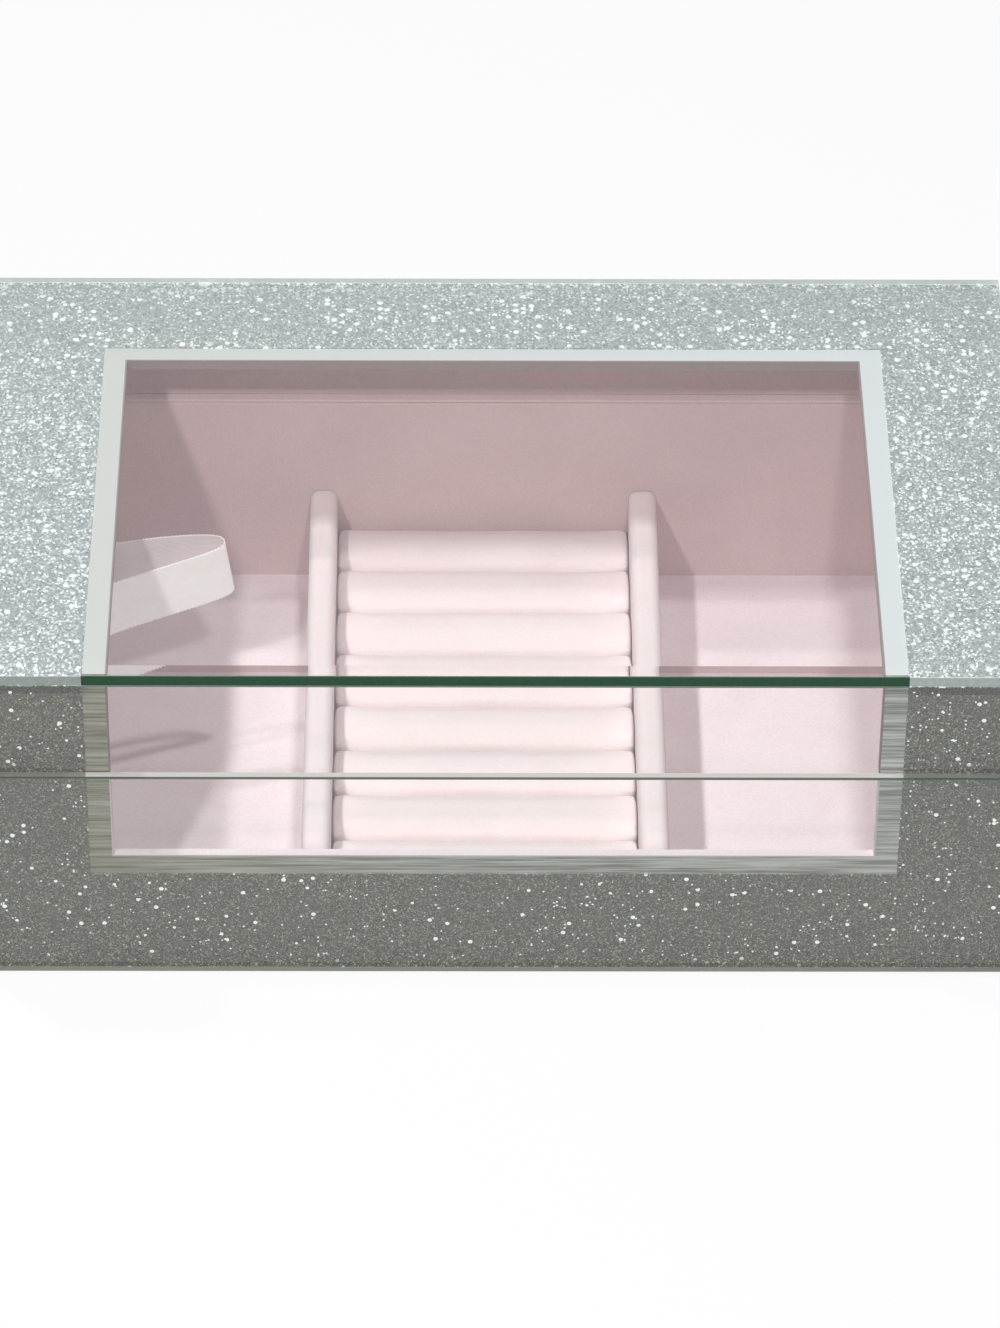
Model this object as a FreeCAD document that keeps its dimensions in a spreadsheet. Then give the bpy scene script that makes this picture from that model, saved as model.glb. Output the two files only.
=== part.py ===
# A glass-clad jewelry box: hinged lid, a clear window that wraps the top and the front,
# velvet inside, two dividers, a bed of ring rolls and a ribbon that stops the lid.
# Millimetres. X runs to the right, Y to the back, Z up; the origin is the centre of the underside.
import FreeCAD, Part
import math
import os
import re
import Sketcher

# Driving dimensions. "Front", "back" and "top" mean the outside faces of the box.
SIZES = {
    # the whole box
    "case_width": 260.0,
    "case_depth": 159.0,
    "case_height": 96.2,
    "lid_height": 32.3,          # from the seam to the top
    "seam_gap": 0.6,             # air between lid and base
    # layers of the walls, from outside to inside
    "pane_thickness": 3.0,
    "top_pane_thickness": 3.4,
    "film_thickness": 0.3,
    "side_board": 6.0,
    "back_board": 5.5,
    "front_board": 2.0,
    "top_board": 2.4,
    "lid_lining": 2.7,
    "base_lining": 5.7,          # thicker, so that its top shows as a rim under the lid
    "skin_thickness": 0.3,       # velvet or glitter paper glued straight to a board
    # the window
    "film_side_border": 31.7,     # from the sides to the film's edge
    "film_back_border": 27.7,     # from the back, on the top pane
    "film_low_border": 31.6,      # from the underside, on the front panes
    "window_margin": 5.9,         # bare board between the film's edge and the clear opening
    "window_back_margin": 5.1,
    "binding_thickness": 0.4,     # velvet tape round the opening's edge
    "bevel_width": 3.5,           # polished bevel on the top pane's front edge
    "bevel_drop": 0.5,
    # underside and floor
    "felt_thickness": 1.0,
    "felt_inset": 4.0,
    "bottom_thickness": 3.0,
    "floor_card": 2.0,
    # dividers
    "divider_thickness": 7.0,
    "divider_height": 28.4,
    "divider_round": 3.2,
    "divider_nose": 6.0,
    "divider_front": 10.0,        # from the front to the divider's nose
    "left_divider_place": 43.6,   # from the middle to the divider's own middle
    "right_divider_place": 39.6,
    "divider_gap": 0.3,
    # ring rolls
    "rolls_front": 10.4,          # from the front to the first roll
    "roll_gap": 0.3,
    "roll_crest": 18.6,           # above the floor
    "roll_end_gap": 0.5,
    "roll_end_round": 2.6,
    "roll_card": 0.8,
    # hinges
    "hinge_place": 75.0,          # from the middle to each hinge's own middle
    "leaf_length": 25.0,
    "leaf_height": 12.0,
    "leaf_thickness": 1.0,
    "knuckle_radius": 2.2,
    "knuckle_stand": 0.2,         # from the back face to the knuckles
    "knuckle_length": 9.0,        # the middle knuckle, which the lid carries
    "knuckle_gap": 0.3,
    "pin_radius": 1.0,
    "pin_clearance": 0.05,
    "pin_proud": 0.6,
    "screw_spread": 15.0,         # between the two screws of a leaf
    "screw_rise": 7.5,            # from the seam to the screws
    "screw_radius": 0.9,
    "screw_head_radius": 1.8,
    "screw_head_depth": 0.8,
    "screw_length": 6.4,
    "screw_clearance": 0.05,
    "slot_width": 0.5,
    "slot_depth": 0.4,
    # lid stay
    "ribbon_width": 15.5,
    "ribbon_thickness": 0.4,
    "ribbon_front": 58.5,         # from the front to the end on the base
    "ribbon_span": 50.0,          # along the wall, from the base's end to the lid's end
    "ribbon_reach": 48.4,         # from the base's left lining to the bend
    "ribbon_tuck": 1.0,           # from each rim to the ribbon's nearer edge
    "ribbon_gap": 0.5,            # from each end to the lining that it is glued to
    # how far cutting tools run past what they cut
    "overrun": 1.0,
}

# Planes of the layers, each worked out from the sizes above.
PLANES = {
    "side_x": "case_width / 2",
    "pane_in_x": "side_x - pane_thickness",
    "film_in_x": "pane_in_x - film_thickness",
    "board_in_x": "film_in_x - side_board",
    "lid_in_x": "board_in_x - lid_lining",
    "base_in_x": "board_in_x - base_lining",
    "front_y": "-case_depth / 2",
    "pane_in_y": "front_y + pane_thickness",
    "film_in_y": "pane_in_y + film_thickness",
    "board_in_y": "film_in_y + front_board",
    "front_in_y": "board_in_y + skin_thickness",
    "back_y": "case_depth / 2",
    "paper_in_y": "back_y - skin_thickness",
    "back_board_in_y": "paper_in_y - back_board",
    "lid_back_in_y": "back_board_in_y - lid_lining",
    "base_back_in_y": "back_board_in_y - base_lining",
    "pane_under_z": "case_height - top_pane_thickness",
    "film_under_z": "pane_under_z - film_thickness",
    "rail_under_z": "film_under_z - top_board",
    "ceiling_z": "rail_under_z - skin_thickness",
    "seam_z": "case_height - lid_height",
    "lid_low_z": "seam_z + seam_gap / 2",
    "base_high_z": "seam_z - seam_gap / 2",
    "board_low_z": "felt_thickness",
    "board_high_z": "board_low_z + bottom_thickness",
    "floor_z": "board_high_z + floor_card",
    "film_open_x": "side_x - film_side_border",
    "film_open_y": "back_y - film_back_border",
    "film_open_z": "film_low_border",
    "clear_x": "film_open_x - window_margin",
    "clear_y": "film_open_y - window_back_margin",
    "clear_z": "film_open_z + window_margin",
    "bound_x": "clear_x + binding_thickness",
    "bound_y": "clear_y + binding_thickness",
    "bound_z": "clear_z - binding_thickness",
    "left_bay_x": "-left_divider_place + divider_thickness / 2",
    "right_bay_x": "right_divider_place - divider_thickness / 2",
    "rolls_front_y": "front_y + rolls_front",
    "roll_card_z": "floor_z + roll_card",
    "hinge_y": "back_y + knuckle_stand + knuckle_radius",
    "leaf_back_y": "back_y + leaf_thickness",
    "leaf_low": "knuckle_radius + knuckle_gap",
}
ROLL_COUNT = 8

# The ribbon's stations from the base's end to the lid's end: how far it reaches into the box,
# and how far it has gone along the wall. The last one reaches back to the lid's own lining.
RIBBON_SHARES = [
    (0.0, 0.0),
    (0.19, 0.115),
    (0.396, 0.21),
    (0.69, 0.315),
    (0.94, 0.405),
    (1.0, 0.438),
    (0.95, 0.462),
    (0.667, 0.392),
    (0.39, 0.282),
    (0.17, 0.36),
    (0.0, 0.86),
    (0.0, 1.0),
]

doc = FreeCAD.newDocument("jewelry_organizer")


def add_sheet(name, cells):
    """A spreadsheet with one named value on each row."""
    sheet = doc.addObject("Spreadsheet::Sheet", name)
    for row, (alias, text) in enumerate(cells.items(), start=1):
        sheet.set(f"A{row}", alias)
        sheet.set(f"B{row}", str(text))
        sheet.setAlias(f"B{row}", alias)
    return sheet


def formula(text, inside=""):
    """The expression with each named value read from its sheet, or bare inside its own sheet."""
    def place(match):
        word = match.group(0)
        for sheet, names in (("Sizes", SIZES), ("Planes", PLANES)):
            if word in names and sheet != inside:
                return f"{sheet}.{word}"
        return word
    return re.sub(r"[a-z][a-z_]*", place, text)


sizes = add_sheet("Sizes", SIZES)
planes = add_sheet("Planes", {alias: "=" + formula(text, "Planes") for alias, text in PLANES.items()})
doc.recompute()


def value(name):
    """A named value as a plain number."""
    return float(getattr(sizes if name in SIZES else planes, name))


def bind(thing, path, text):
    thing.setExpression(path, formula(text))


def put(thing, x, y, z):
    """Ties the place of an object to named values."""
    for axis, text in zip("xyz", (x, y, z)):
        bind(thing, f"Placement.Base.{axis}", text)
    return thing


def block(name, x, y, z):
    """A box between two named planes along each axis."""
    box = doc.addObject("Part::Box", name)
    for path, (low, high) in zip(("Length", "Width", "Height"), (x, y, z)):
        bind(box, path, f"({high}) - ({low})")
    return put(box, x[0], y[0], z[0])


ALONG_X = FreeCAD.Rotation(FreeCAD.Vector(0, 1, 0), 90)
TO_FRONT = FreeCAD.Rotation(FreeCAD.Vector(1, 0, 0), 90)


def rod(name, radius, length, turn, place):
    """A cylinder that starts at a place and runs along X or towards the front."""
    cylinder = doc.addObject("Part::Cylinder", name)
    cylinder.Placement = FreeCAD.Placement(FreeCAD.Vector(), turn)
    bind(cylinder, "Radius", radius)
    bind(cylinder, "Height", length)
    return put(cylinder, *place)


def cone(name, wide, narrow, depth, place):
    """A countersink, wide at the place and narrowing towards the front."""
    shape = doc.addObject("Part::Cone", name)
    shape.Placement = FreeCAD.Placement(FreeCAD.Vector(), TO_FRONT)
    bind(shape, "Radius1", wide)
    bind(shape, "Radius2", narrow)
    bind(shape, "Height", depth)
    return put(shape, *place)


def fuse(name, *shapes):
    joined = doc.addObject("Part::MultiFuse", name)
    joined.Shapes = list(shapes)
    joined.Refine = True
    return joined


def cut(name, base, *tools):
    result = doc.addObject("Part::Cut", name)
    result.Base = base
    result.Tool = tools[0] if len(tools) == 1 else fuse(name + "_tools", *tools)
    return result


def group(name, *shapes):
    """Separate solids that share one node."""
    together = doc.addObject("Part::Compound", name)
    together.Links = list(shapes)
    return together


NODES = []


def node(label, thing):
    thing.Label = label
    NODES.append(thing)
    return thing


def span(plane):
    """Both sides of the middle, out to one plane."""
    return (f"-({plane})", plane)


def sided(side, inner, outer):
    """The same stretch on the left or on the right."""
    return (f"-({outer})", f"-({inner})") if side == "left" else (inner, outer)


SIDES = ("left", "right")


def sketch_on(body, role):
    """An empty sketch on one of the body's own origin planes."""
    sketch = body.newObject("Sketcher::SketchObject", body.Name + "_sketch")
    plane = next(f for f in body.Origin.OriginFeatures if f.Role == role)
    sketch.AttachmentSupport = [(plane, "")]
    sketch.MapMode = "FlatFace"
    return sketch


def outline(sketch, points):
    """A closed outline whose corners lie at named distances from the sketch's origin."""
    start = [FreeCAD.Vector(float(i), float(i * i), 0) for i in range(len(points))]
    for i, corner in enumerate(start):
        sketch.addGeometry(Part.LineSegment(corner, start[(i + 1) % len(start)]), False)
    for i in range(len(points)):
        sketch.addConstraint(Sketcher.Constraint("Coincident", i, 2, (i + 1) % len(points), 1))
    for i, (across, up) in enumerate(points):
        for kind, axis, text in (("DistanceX", -2, across), ("DistanceY", -1, up)):
            if text == "0":
                sketch.addConstraint(Sketcher.Constraint("PointOnObject", i, 1, axis))
                continue
            size = float(sketch.evalExpression(formula(text)))
            at = sketch.addConstraint(Sketcher.Constraint(kind, -1, 1, i, 1, size))
            bind(sketch, f"Constraints[{at}]", text)


def pad(body, sketch, length):
    feature = body.newObject("PartDesign::Pad", body.Name + "_pad")
    feature.Profile = sketch
    bind(feature, "Length", length)
    doc.recompute()
    return feature


def rounded(body, feature, name, radius, wanted):
    """Fillets every edge of a feature that the test picks by its bounding box."""
    edges = [f"Edge{i}" for i, edge in enumerate(feature.Shape.Edges, start=1) if wanted(edge.BoundBox)]
    fillet = body.newObject("PartDesign::Fillet", body.Name + "_" + name)
    fillet.Base = (feature, edges)
    bind(fillet, "Radius", radius)
    doc.recompute()
    return fillet


# Panes
def top_pane():
    """The top pane's side view, with the bevel along its front edge, drawn out across the box."""
    body = doc.addObject("PartDesign::Body", "top_pane")
    sketch = sketch_on(body, "YZ_Plane")
    outline(sketch, [
        ("0", "0"),
        ("case_depth", "0"),
        ("case_depth", "top_pane_thickness"),
        ("bevel_width", "top_pane_thickness"),
        ("0", "top_pane_thickness - bevel_drop"),
    ])
    pad(body, sketch, "case_width")
    return put(body, "-side_x", "front_y", "pane_under_z")


node("top_glass", top_pane())
HEIGHTS = {"lid": ("lid_low_z", "film_under_z"), "base": ("board_low_z", "base_high_z")}
for part, height in HEIGHTS.items():
    node(f"{part}_front_glass", block(f"{part}_front_pane", span("side_x"), ("front_y", "pane_in_y"), height))
    for side in SIDES:
        node(f"{part}_{side}_glass", block(
            f"{part}_{side}_pane", sided(side, "pane_in_x", "side_x"), ("film_in_y", "back_y"), height))

# Glitter film behind the panes, cut back around the window
node("top_glitter_film", cut(
    "top_film",
    block("top_film_sheet", span("side_x"), ("front_y", "back_y"), ("film_under_z", "pane_under_z")),
    block("top_film_opening", span("film_open_x"), ("front_y - overrun", "film_open_y"),
          ("film_under_z - overrun", "pane_under_z + overrun")),
))
node("lid_front_glitter_film", group("lid_front_film", *[
    block(f"lid_front_film_{side}", sided(side, "film_open_x", "side_x"), ("pane_in_y", "film_in_y"),
          HEIGHTS["lid"])
    for side in SIDES
]))
node("base_front_glitter_film", cut(
    "base_front_film",
    block("base_front_film_sheet", span("side_x"), ("pane_in_y", "film_in_y"), HEIGHTS["base"]),
    block("base_front_film_opening", span("film_open_x"), ("pane_in_y - overrun", "film_in_y + overrun"),
          ("film_open_z", "base_high_z + overrun")),
))
for part, height in HEIGHTS.items():
    node(f"{part}_side_glitter_films", group(f"{part}_side_films", *[
        block(f"{part}_film_{side}", sided(side, "film_in_x", "pane_in_x"), ("film_in_y", "back_y"), height)
        for side in SIDES
    ]))

# Screw holes through the back paper into the back boards, and the screws that fill them
HINGES = {"left": "-hinge_place", "right": "hinge_place"}
UPWARDS = {"lid": "", "base": "-"}


def screw_places(part):
    """Where the four screws of the lid or of the base start, on the outer face of their leaves."""
    height = f"seam_z + ({UPWARDS[part]}screw_rise)"
    for hinge in HINGES.values():
        for way in ("-", ""):
            yield (f"{hinge} + ({way}screw_spread / 2)", "leaf_back_y", height)


def screw_holes(name, part):
    return [
        rod(f"{name}_{i}", "screw_radius + screw_clearance", "screw_length + overrun", TO_FRONT, place)
        for i, place in enumerate(screw_places(part), start=1)
    ]


def screws(part):
    """Countersunk slotted screws, flush with the leaf."""
    made = []
    for i, place in enumerate(screw_places(part), start=1):
        name = f"{part}_screw_{i}"
        solid = fuse(
            name + "_solid",
            cone(name + "_head", "screw_head_radius", "screw_radius", "screw_head_depth", place),
            rod(name + "_shank", "screw_radius", "screw_length", TO_FRONT, place),
        )
        x, y, z = place
        slot = block(
            name + "_slot",
            (f"{x} - screw_head_radius - overrun", f"{x} + screw_head_radius + overrun"),
            (f"{y} - slot_depth", f"{y} + overrun"),
            (f"{z} - slot_width / 2", f"{z} + slot_width / 2"),
        )
        made.append(cut(name, solid, slot))
    return made


for part in ("lid", "base"):
    node(f"{part}_back_glitter_paper", cut(
        f"{part}_paper",
        block(f"{part}_paper_sheet", span("film_in_x"), ("paper_in_y", "back_y"), HEIGHTS[part]),
        *screw_holes(f"{part}_paper_hole", part),
    ))

# Boards of the lid
RAIL = ("rail_under_z", "film_under_z")
LID_WALL = ("lid_low_z", "rail_under_z")
node("lid_back_rail", block("back_rail", span("film_in_x"), ("bound_y", "paper_in_y"), RAIL))
for side in SIDES:
    node(f"lid_{side}_rail", block(
        f"{side}_rail", sided(side, "bound_x", "film_in_x"), ("film_in_y", "bound_y"), RAIL))
    node(f"lid_{side}_wall", block(
        f"lid_{side}_board", sided(side, "board_in_x", "film_in_x"), ("film_in_y", "paper_in_y"), LID_WALL))
    node(f"lid_{side}_stile", block(
        f"lid_{side}_upright", sided(side, "bound_x", "board_in_x"), ("film_in_y", "board_in_y"), LID_WALL))
node("lid_back_wall", cut(
    "lid_back_drilled",
    block("lid_back_board", span("board_in_x"), ("back_board_in_y", "paper_in_y"), LID_WALL),
    *screw_holes("lid_back_hole", "lid"),
))

# Boards of the base
BASE_WALL = ("board_high_z", "base_high_z")
node("bottom_board", block(
    "bottom", span("film_in_x"), ("film_in_y", "paper_in_y"), ("board_low_z", "board_high_z")))
for side in SIDES:
    node(f"base_{side}_wall", block(
        f"base_{side}_board", sided(side, "board_in_x", "film_in_x"), ("film_in_y", "paper_in_y"), BASE_WALL))
    node(f"base_{side}_stile", block(
        f"base_{side}_upright", sided(side, "bound_x", "board_in_x"), ("film_in_y", "board_in_y"), BASE_WALL))
node("base_front_rail", block(
    "front_rail", span("bound_x"), ("film_in_y", "board_in_y"), ("board_high_z", "bound_z")))
node("base_back_wall", cut(
    "base_back_drilled",
    block("base_back_board", span("board_in_x"), ("back_board_in_y", "paper_in_y"), BASE_WALL),
    *screw_holes("base_back_hole", "base"),
))
node("felt_sheet", block(
    "felt", span("side_x - felt_inset"), ("front_y + felt_inset", "back_y - felt_inset"),
    ("0", "felt_thickness")))

# Velvet linings
for part, inner_x, inner_y, height in (
    ("lid", "lid_in_x", "lid_back_in_y", LID_WALL),
    ("base", "base_in_x", "base_back_in_y", BASE_WALL),
):
    for side in SIDES:
        node(f"{part}_{side}_lining", block(
            f"{part}_{side}_liner", sided(side, inner_x, "board_in_x"),
            ("board_in_y", "back_board_in_y"), height))
    node(f"{part}_back_lining", block(
        f"{part}_back_liner", span(inner_x), (inner_y, "back_board_in_y"), height))
node("lid_top_lining", cut(
    "ceiling",
    block("ceiling_sheet", span("lid_in_x"), ("board_in_y", "lid_back_in_y"), ("ceiling_z", "rail_under_z")),
    block("ceiling_opening", span("bound_x"), ("board_in_y - overrun", "bound_y"),
          ("ceiling_z - overrun", "rail_under_z + overrun")),
))
node("lid_front_lining", group("lid_front_skins", *[
    block(f"lid_front_skin_{side}", sided(side, "bound_x", "lid_in_x"), ("board_in_y", "front_in_y"),
          ("lid_low_z", "ceiling_z"))
    for side in SIDES
]))
node("base_front_lining", cut(
    "base_front_skin",
    block("base_front_skin_sheet", span("base_in_x"), ("board_in_y", "front_in_y"),
          ("floor_z", "base_high_z")),
    block("base_front_skin_opening", span("bound_x"), ("board_in_y - overrun", "front_in_y + overrun"),
          ("bound_z", "base_high_z + overrun")),
))
node("lid_window_binding", fuse(
    "lid_binding",
    cut("lid_binding_top",
        block("lid_binding_outer", span("bound_x"), ("film_in_y", "bound_y"), ("ceiling_z", "film_under_z")),
        block("lid_binding_inner", span("clear_x"), ("film_in_y - overrun", "clear_y"),
              ("ceiling_z - overrun", "film_under_z + overrun"))),
    *[block(f"lid_binding_{side}", sided(side, "clear_x", "bound_x"), ("film_in_y", "front_in_y"),
            ("lid_low_z", "ceiling_z")) for side in SIDES],
))
node("base_window_binding", cut(
    "base_binding",
    block("base_binding_outer", span("bound_x"), ("film_in_y", "front_in_y"), ("bound_z", "base_high_z")),
    block("base_binding_inner", span("clear_x"), ("film_in_y - overrun", "front_in_y + overrun"),
          ("clear_z", "base_high_z + overrun")),
))
node("floor_pad", block(
    "floor", span("base_in_x"), ("front_in_y", "base_back_in_y"), ("board_high_z", "floor_z")))


# Dividers
def divider(name, middle):
    """A velvet-wrapped board: its nose is turned over at the front, and its upper edges are rounded."""
    body = doc.addObject("PartDesign::Body", name)
    sketch = sketch_on(body, "XY_Plane")
    length = "base_back_in_y - divider_gap - front_y - divider_front"
    outline(sketch, [("0", "0"), ("divider_thickness", "0"), ("divider_thickness", length), ("0", length)])
    solid = pad(body, sketch, "divider_height")
    top = solid.Shape.BoundBox.ZMax
    near = value("divider_gap") / 2
    nosed = rounded(body, solid, "nose", "divider_nose",
                    lambda box: box.ZMin > top - near and box.YMax < near)
    face = nosed.Shape.BoundBox
    rounded(body, nosed, "edges", "divider_round",
            lambda box: box.XLength < near and box.ZMax > near and box.YMin < face.YMax - near)
    return put(body, f"{middle} - divider_thickness / 2", "front_y + divider_front", "floor_z")


node("left_divider", divider("divider_left", "-left_divider_place"))
node("right_divider", divider("divider_right", "right_divider_place"))

# Ring rolls on their card
BAY = ("left_bay_x + roll_end_gap", "right_bay_x - roll_end_gap")
ROLL_PITCH = f"(base_back_in_y - rolls_front_y) / {ROLL_COUNT}"
ROLL_RADIUS = f"({ROLL_PITCH} - roll_gap) / 2"
ROLL_SHOULDER = f"roll_crest - roll_card - {ROLL_RADIUS}"
node("ring_roll_card", block(
    "roll_card_sheet", BAY, ("rolls_front_y", "base_back_in_y - roll_gap"), ("floor_z", "roll_card_z")))


def ring_roll(number):
    """A padded roll with rounded ends: half round above its shoulder, straight below it down to the card."""
    body = doc.addObject("PartDesign::Body", f"roll_{number}")
    sketch = sketch_on(body, "YZ_Plane")
    radius, shoulder = [float(sketch.evalExpression(formula(text))) for text in (ROLL_RADIUS, ROLL_SHOULDER)]
    low, high = [[FreeCAD.Vector(side * radius, up, 0) for side in (-1, 1)] for up in (0, shoulder)]
    crest = Part.Circle(FreeCAD.Vector(0, shoulder, 0), FreeCAD.Vector(0, 0, 1), radius)
    sketch.addGeometry([
        Part.LineSegment(low[0], low[1]),
        Part.LineSegment(low[1], high[1]),
        Part.ArcOfCircle(crest, 0, math.pi),
        Part.LineSegment(high[0], low[0]),
    ], False)
    for rule in (
        ("Coincident", 0, 2, 1, 1), ("Tangent", 1, 2, 2, 1),
        ("Tangent", 2, 2, 3, 1), ("Coincident", 3, 2, 0, 1),
        ("PointOnObject", 0, 1, -1), ("PointOnObject", 0, 2, -1), ("PointOnObject", 2, 3, -2),
        ("Vertical", 1), ("Vertical", 3),
    ):
        sketch.addConstraint(Sketcher.Constraint(*rule))
    for rule, size, text in ((("Radius", 2), radius, ROLL_RADIUS),
                             (("DistanceY", -1, 1, 2, 3), shoulder, ROLL_SHOULDER)):
        at = sketch.addConstraint(Sketcher.Constraint(*rule, size))
        bind(sketch, f"Constraints[{at}]", text)
    solid = pad(body, sketch, f"({BAY[1]}) - ({BAY[0]})")
    near = value("roll_gap") / 2
    rounded(body, solid, "ends", "roll_end_round", lambda box: box.XLength < near and box.ZMax > near)
    return put(body, BAY[0], f"rolls_front_y + ({number} - 1 / 2) * {ROLL_PITCH}", "roll_card_z")


for number in range(1, ROLL_COUNT + 1):
    node(f"ring_roll_{number}", ring_roll(number))


# Hinges
def knuckle_spans(part, hinge):
    """The stretches of the barrel that the lid or the base carries."""
    half, end = "knuckle_length / 2", "leaf_length / 2"
    if part == "lid":
        return [(f"{hinge} - {half} + knuckle_gap / 2", f"{hinge} + {half} - knuckle_gap / 2")]
    return [(f"{hinge} - {end}", f"{hinge} - {half} - knuckle_gap / 2"),
            (f"{hinge} + {half} + knuckle_gap / 2", f"{hinge} + {end}")]


def hinge_leaf(part, side):
    """A flat leaf with its share of the knuckles, bored for the pin and countersunk for its screws."""
    hinge, name = HINGES[side], f"{part}_leaf_{side}"
    depth = ("back_y", "leaf_back_y")

    def upright(low, high):
        if part == "lid":
            return (f"seam_z + {low}", f"seam_z + {high}")
        return (f"seam_z - {high}", f"seam_z - {low}")

    pieces = [block(name + "_plate", (f"{hinge} - leaf_length / 2", f"{hinge} + leaf_length / 2"), depth,
                    upright("leaf_low", "leaf_height"))]
    for i, (low, high) in enumerate(knuckle_spans(part, hinge), start=1):
        pieces.append(block(f"{name}_tongue_{i}", (low, high), depth, upright("0", "leaf_low")))
        pieces.append(rod(f"{name}_knuckle_{i}", "knuckle_radius", f"({high}) - ({low})", ALONG_X,
                          (low, "hinge_y", "seam_z")))
    tools = [rod(name + "_bore", "pin_radius + pin_clearance", "leaf_length + 2 * overrun", ALONG_X,
                 (f"{hinge} - leaf_length / 2 - overrun", "hinge_y", "seam_z"))]
    for i, (x, y, z) in enumerate(screw_places(part), start=1):
        if (i <= 2) == (side == "left"):
            tools.append(rod(f"{name}_hole_{i}", "screw_radius + screw_clearance", "leaf_thickness + overrun",
                             TO_FRONT, (x, y, z)))
            tools.append(cone(f"{name}_sink_{i}", "screw_head_radius + screw_clearance",
                              "screw_radius + screw_clearance", "screw_head_depth", (x, y, z)))
    return cut(name, fuse(name + "_solid", *pieces), *tools)


for part in ("lid", "base"):
    node(f"{part}_hinge_leaves", group(f"{part}_leaves", *[hinge_leaf(part, side) for side in SIDES]))
    node(f"{part}_hinge_screws", group(f"{part}_screws", *screws(part)))
node("hinge_pins", group("pins", *[
    rod(f"pin_{side}", "pin_radius", "leaf_length + 2 * pin_proud", ALONG_X,
        (f"{HINGES[side]} - leaf_length / 2 - pin_proud", "hinge_y", "seam_z"))
    for side in SIDES
]))


# Lid stay
def stay_ribbon():
    """A ribbon on edge that loops from the base's left lining into the box and back to the lid's lining."""
    half_width, half_thickness = value("ribbon_width") / 2, value("ribbon_thickness") / 2
    base_end = value("base_high_z") - value("ribbon_tuck") - half_width
    rise = value("lid_low_z") + value("ribbon_tuck") + half_width - base_end
    last = len(RIBBON_SHARES) - 1
    walls = [-value("base_in_x") + value("ribbon_gap")] * last + [-value("lid_in_x") + value("ribbon_gap")]
    places = [
        FreeCAD.Vector(wall + reach * (value("ribbon_reach") - value("ribbon_gap")),
                       value("front_y") + value("ribbon_front") + along * value("ribbon_span"),
                       base_end + rise * i / last)
        for i, (wall, (reach, along)) in enumerate(zip(walls, RIBBON_SHARES))
    ]
    up = FreeCAD.Vector(0, 0, half_width)
    rings = []
    for i, here in enumerate(places):
        way = places[min(i + 1, last)] - places[max(i - 1, 0)]
        out = FreeCAD.Vector(-way.y, way.x, 0).normalize() * half_thickness
        rings.append([here + out - up, here + out + up, here - out + up, here - out - up])
    faces = [rings[0], rings[-1]]
    for near, far in zip(rings, rings[1:]):
        faces += [[near[0], near[1], far[1], far[0]], [near[2], near[3], far[3], far[2]]]
        for one, other in ((1, 2), (3, 0)):
            faces += [[near[one], near[other], far[one]], [near[other], far[other], far[one]]]
    shell = Part.makeShell([Part.Face(Part.makePolygon(corners + corners[:1])) for corners in faces])
    print("ribbon, free length", round(sum((b - a).Length for a, b in zip(places, places[1:])), 1))
    ribbon = doc.addObject("Part::Feature", "ribbon")
    ribbon.Shape = Part.makeSolid(shell)
    ribbon.Placement = FreeCAD.Placement()
    return ribbon


node("stay_ribbon", stay_ribbon())

doc.recompute()
for thing in doc.Objects:
    if {"Invalid", "Error"} & set(thing.State):
        raise RuntimeError(f"{thing.Label} failed: {thing.State}")
for thing in NODES:
    if thing.Shape.isNull() or not thing.Shape.isValid() or not thing.Shape.Solids:
        raise RuntimeError(f"{thing.Label} has no valid solid")

os.makedirs("parts", exist_ok=True)
for thing in NODES:
    thing.Shape.exportStep(f"parts/{thing.Label}.step")
    box = thing.Shape.BoundBox
    print(thing.Label, len(thing.Shape.Solids), [round(v, 2) for v in (
        box.XMin, box.XMax, box.YMin, box.YMax, box.ZMin, box.ZMax)])
print(len(NODES), "nodes")
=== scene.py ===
# %% [markdown]
# # A glass-clad jewelry box with glitter borders and pink velvet
#
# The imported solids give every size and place, so this lesson is about surfaces. It goes from the outside in:
# the studio, the panes, the glitter behind them, the silver boards round the window, the velvet, the padded
# ring rolls and last the satin ribbon that stops the lid. All lengths are in metres, so `MM` turns the
# millimetres of a maker's drawing into Blender's unit. The solids come with flat stand-in colours, which go
# first, because every piece gets a finish of its own.

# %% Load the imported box
import math

import bmesh
import bpy
from mathutils import Matrix, Vector, noise


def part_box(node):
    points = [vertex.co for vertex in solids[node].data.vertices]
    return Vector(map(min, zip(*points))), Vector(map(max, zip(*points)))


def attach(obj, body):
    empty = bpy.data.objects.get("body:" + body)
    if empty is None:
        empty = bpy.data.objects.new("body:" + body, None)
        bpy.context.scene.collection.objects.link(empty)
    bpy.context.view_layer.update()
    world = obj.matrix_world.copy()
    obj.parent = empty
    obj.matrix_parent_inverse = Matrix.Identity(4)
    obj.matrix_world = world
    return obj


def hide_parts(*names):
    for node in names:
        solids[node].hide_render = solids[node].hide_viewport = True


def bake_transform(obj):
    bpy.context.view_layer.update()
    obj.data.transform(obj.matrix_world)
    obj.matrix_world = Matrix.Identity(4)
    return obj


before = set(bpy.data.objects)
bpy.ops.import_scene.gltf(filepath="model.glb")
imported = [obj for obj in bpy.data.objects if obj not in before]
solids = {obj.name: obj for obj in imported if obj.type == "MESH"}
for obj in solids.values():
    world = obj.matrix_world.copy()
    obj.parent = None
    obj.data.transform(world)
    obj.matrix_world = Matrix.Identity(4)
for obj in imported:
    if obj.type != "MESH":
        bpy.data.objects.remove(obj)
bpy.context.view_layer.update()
MM = 0.001
for stand_in in list(bpy.data.materials):
    bpy.data.materials.remove(stand_in)

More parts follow.
